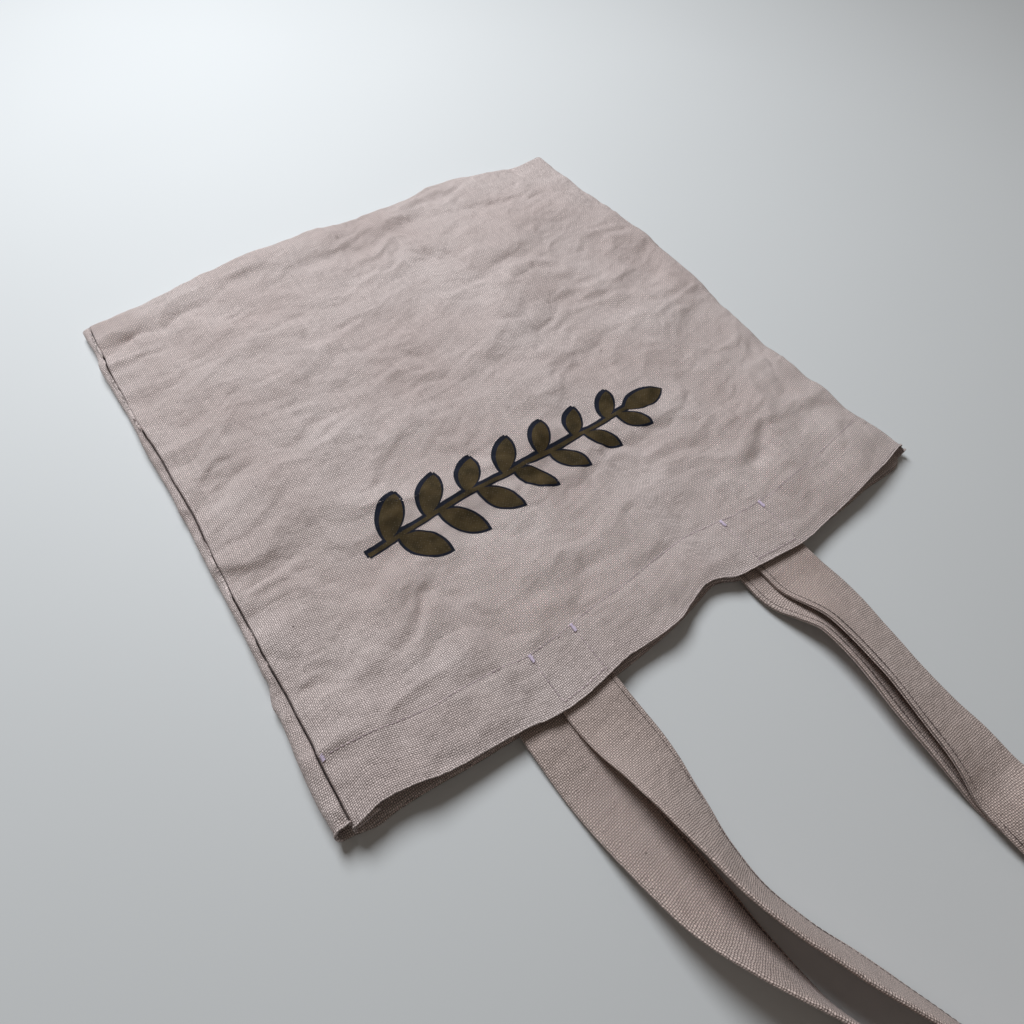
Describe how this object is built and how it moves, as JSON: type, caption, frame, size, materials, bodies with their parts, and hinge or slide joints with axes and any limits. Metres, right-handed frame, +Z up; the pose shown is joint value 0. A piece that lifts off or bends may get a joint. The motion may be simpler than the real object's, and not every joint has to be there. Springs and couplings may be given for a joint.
{
  "type": "canvas tote bag",
  "caption": "Flat canvas tote bag with a hemmed open mouth, a printed front panel and long strap handles sewn inside the mouth.",
  "frame": {"origin": "centre of the flat underside of the back panel, where the bag rests", "axes": "+Z up from the surface it lies on; -Y towards the mouth and the handles, +Y towards the bottom of the bag; +X to the right seen from above with the mouth nearest"},
  "size_m": [0.35, 0.6181, 0.0303],
  "materials": {
    "canvas": "coarse washed plain weave, dusty mauve beige",
    "strap_canvas": "coarse plain weave, pressed folded strap",
    "thread_tonal": "matte sewing thread, close to the cloth's colour",
    "thread_lilac": "matte lilac sewing thread",
    "print_navy": "matte ink on canvas",
    "print_olive": "matte ink on canvas"
  },
  "bodies": {
    "root": {"back_panel": "canvas", "back_hem": "canvas", "left_side_seam": "canvas", "right_side_seam": "canvas", "bottom_seam": "canvas", "back_handle_left_end": "strap_canvas", "back_handle_right_end": "strap_canvas", "back_hem_stitching": "thread_tonal", "back_box_stitching_left": "thread_tonal", "back_box_stitching_right": "thread_tonal", "left_seam_stitching": "thread_tonal", "right_seam_stitching": "thread_tonal", "bottom_seam_stitching": "thread_tonal"},
    "front_side": {"front_panel": "canvas", "front_hem": "canvas", "front_handle_left_end": "strap_canvas", "front_handle_right_end": "strap_canvas", "print_outline": "print_navy", "print_fill": "print_olive", "front_hem_stitching": "thread_tonal", "front_box_stitching_left": "thread_tonal", "front_box_stitching_right": "thread_tonal", "front_backtacks": "thread_lilac", "seam_backtack": "thread_lilac"},
    "front_handle": {"front_handle": "strap_canvas", "front_handle_stitching": "thread_tonal"},
    "back_handle": {"back_handle": "strap_canvas", "back_handle_stitching": "thread_tonal"}
  },
  "joints": [
    {"name": "mouth_open", "type": "hinge", "parent": "root", "child": "front_side", "pos_m": [0, 0.1803, 0.00475], "axis": [-1, 0, 0], "range_deg": [0, 5]},
    {"name": "front_handle_swing", "type": "hinge", "parent": "front_side", "child": "front_handle", "pos_m": [0, -0.18987, 0.0074], "axis": [-1, 0, 0], "range_deg": [0, 135]},
    {"name": "back_handle_swing", "type": "hinge", "parent": "root", "child": "back_handle", "pos_m": [0, -0.18987, 0.0021], "axis": [-1, 0, 0], "range_deg": [-135, 0]}
  ]
}
